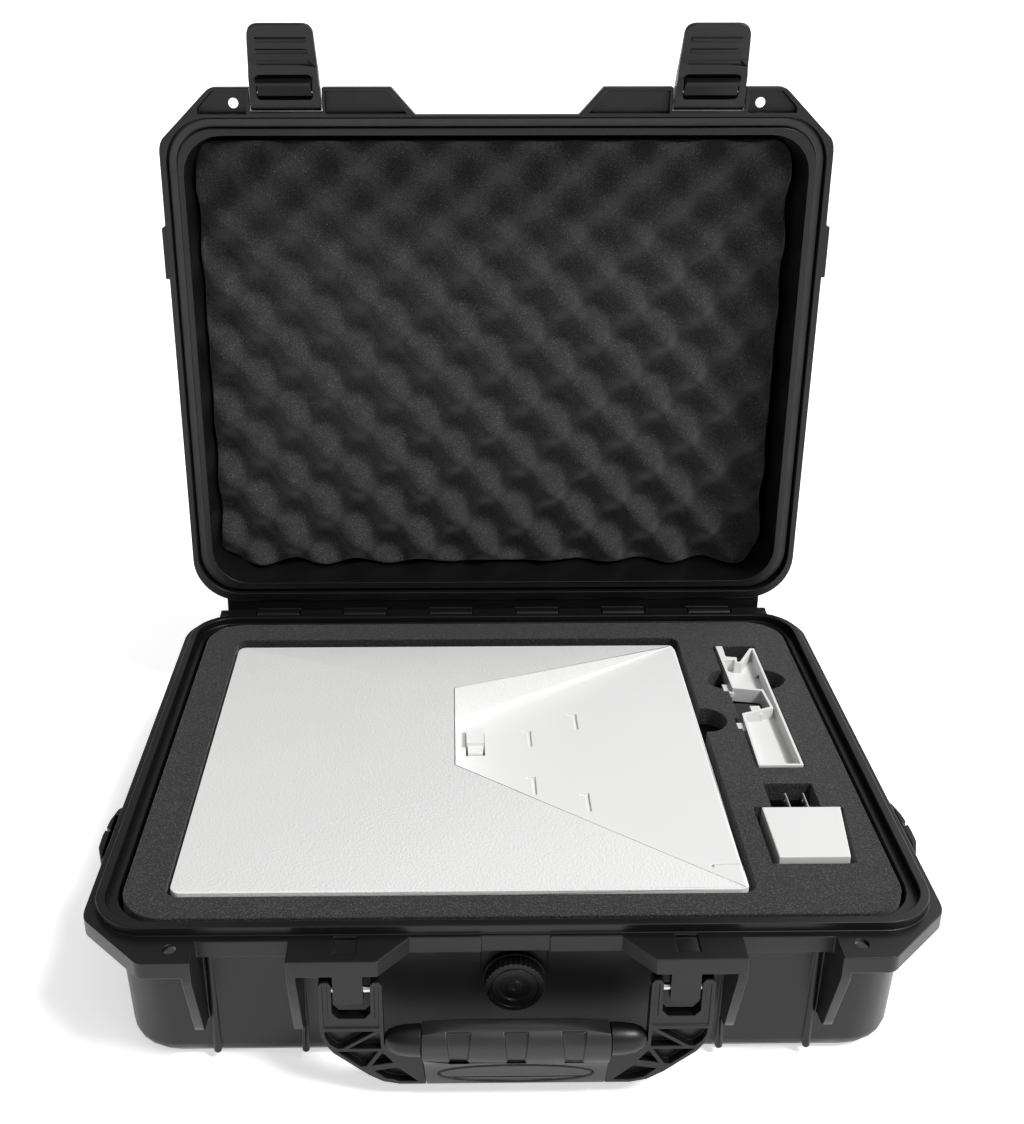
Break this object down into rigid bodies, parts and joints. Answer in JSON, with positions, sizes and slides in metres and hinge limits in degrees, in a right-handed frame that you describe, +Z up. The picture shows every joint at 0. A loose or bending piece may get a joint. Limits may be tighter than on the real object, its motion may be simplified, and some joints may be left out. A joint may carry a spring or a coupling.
{
  "type": "carrying case with stored kit",
  "caption": "Hard black carrying case with foam inserts, over-centre latches and a folding handle, holding a flat white unit, its cover and a mains adapter.",
  "frame": {"origin": "middle of the flat bottom of the base, on the surface that the case stands on", "axes": "+X to the right, +Y from the handle towards the hinge, +Z up"},
  "size_m": [0.5588, 0.5443, 0.6093],
  "materials": {
    "shell": "finely textured moulded plastic",
    "rubber": "satin rubber",
    "foam": "open-cell foam",
    "steel": "satin",
    "white_plastic": "fine leather-grain texture",
    "circuit": "satin"
  },
  "bodies": {
    "base": {"base_shell": "shell", "hinge_pin": "steel", "valve_seal": "rubber", "valve_body": "shell", "foam_tray": "foam", "foam_pad": "foam", "handle_pin_left": "steel", "handle_pin_right": "steel"},
    "valve": {"valve_knob": "shell"},
    "handle": {"handle_frame": "shell", "handle_grip": "rubber"},
    "lid": {"lid_shell": "shell", "lid_gasket": "rubber", "lid_foam": "foam", "latch_pin_left": "steel", "latch_pin_right": "steel"},
    "lever_left": {"latch_lever_left": "shell", "hook_pin_left": "steel"},
    "hook_left": {"latch_hook_left": "shell"},
    "lever_right": {"latch_lever_right": "shell", "hook_pin_right": "steel"},
    "hook_right": {"latch_hook_right": "shell"},
    "unit": {"panel_back": "white_plastic", "panel_front": "white_plastic", "panel_board": "circuit", "panel_port": "white_plastic"},
    "cover": {"cover_bracket": "white_plastic"},
    "adapter": {"adapter_body": "white_plastic", "adapter_face": "white_plastic", "adapter_core": "circuit", "prong_left": "steel", "prong_right": "steel"}
  },
  "joints": [
    {"name": "lid_hinge", "type": "hinge", "parent": "base", "child": "lid", "pos_m": [0, 0.2281, 0.102], "axis": [-1, 0, 0], "range_deg": [-91, 0]},
    {"name": "handle_fold", "type": "hinge", "parent": "base", "child": "handle", "pos_m": [0, -0.2265, 0.086], "axis": [-1, 0, 0], "range_deg": [0, 95]},
    {"name": "valve_turn", "type": "hinge", "parent": "base", "child": "valve", "pos_m": [0, -0.2, 0.0675], "axis": [0, -1, 0], "range_deg": [0, 180]},
    {"name": "unit_lift", "type": "slide", "parent": "base", "child": "unit", "axis": [0, 0, 1], "range_m": [0, 0.12]},
    {"name": "cover_lift", "type": "slide", "parent": "base", "child": "cover", "axis": [0, 0, 1], "range_m": [0, 0.12]},
    {"name": "adapter_lift", "type": "slide", "parent": "base", "child": "adapter", "axis": [0, 0, 1], "range_m": [0, 0.12]},
    {"name": "latch_left", "type": "hinge", "parent": "lid", "child": "lever_left", "pos_m": [-0.167, 0.2499, 0.54879], "axis": [-1, 0, 0], "range_deg": [-62, 46]},
    {"name": "hook_swing_left", "type": "hinge", "parent": "lever_left", "child": "hook_left", "pos_m": [-0.167, 0.24329, 0.55729], "axis": [-1, 0, 0], "range_deg": [-9, 7]},
    {"name": "latch_right", "type": "hinge", "parent": "lid", "child": "lever_right", "pos_m": [0.167, 0.2499, 0.54879], "axis": [-1, 0, 0], "range_deg": [-62, 46]},
    {"name": "hook_swing_right", "type": "hinge", "parent": "lever_right", "child": "hook_right", "pos_m": [0.167, 0.24329, 0.55729], "axis": [-1, 0, 0], "range_deg": [-9, 7]}
  ],
  "couplings": [
    {"joint": "hook_swing_left", "follows": "latch_left", "ratio": 0.14},
    {"joint": "hook_swing_right", "follows": "latch_right", "ratio": 0.14}
  ]
}
